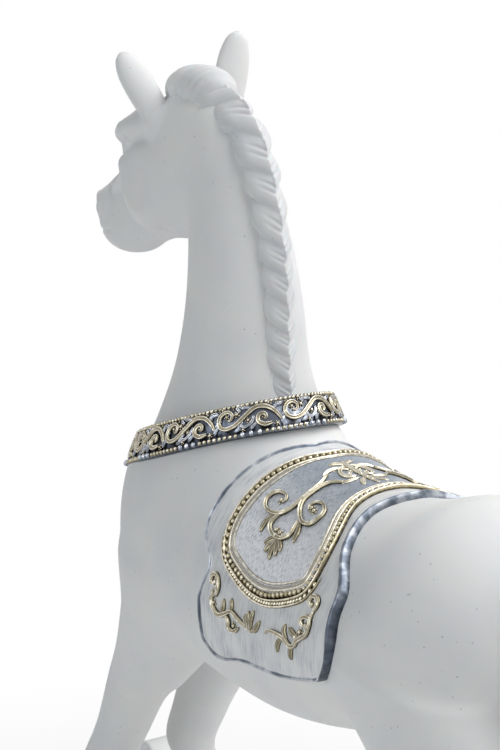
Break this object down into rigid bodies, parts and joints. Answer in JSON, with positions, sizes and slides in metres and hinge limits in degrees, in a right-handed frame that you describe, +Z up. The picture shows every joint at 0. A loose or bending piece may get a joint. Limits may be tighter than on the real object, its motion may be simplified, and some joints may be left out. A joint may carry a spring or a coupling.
{
  "type": "rocking horse figurine",
  "caption": "White cast resin rocking horse figurine with a plaited mane and a silver and gold collar and saddle cloth, on two curved rockers.",
  "frame": {"origin": "on the surface the rockers stand on, below the middle of the rockers", "axes": "+Z up, the horse faces -Y and its left side is +X"},
  "size_m": [0.0892, 0.347, 0.3371],
  "materials": {
    "white_resin": "matt cast resin",
    "silver_paint": "silver paint on resin, brushed",
    "dark_silver_paint": "antiqued silver paint on resin",
    "gold_paint": "champagne gold paint on resin"
  },
  "bodies": {
    "root": {"torso": "white_resin", "neck_and_head": "white_resin", "braided_mane": "white_resin", "tail": "white_resin", "left_ear": "white_resin", "right_ear": "white_resin", "left_foreleg": "white_resin", "right_foreleg": "white_resin", "left_hind_leg": "white_resin", "right_hind_leg": "white_resin", "left_rocker": "white_resin", "right_rocker": "white_resin", "front_crossbar": "white_resin", "rear_crossbar": "white_resin", "collar_band": "dark_silver_paint", "saddle_blanket": "silver_paint", "saddle_panel": "silver_paint", "panel_frame": "gold_paint", "spine_ornament": "gold_paint", "left_panel_scroll": "gold_paint", "right_panel_scroll": "gold_paint", "left_front_scroll": "gold_paint", "right_front_scroll": "gold_paint", "left_rear_scroll": "gold_paint", "right_rear_scroll": "gold_paint"}
  },
  "joints": []
}
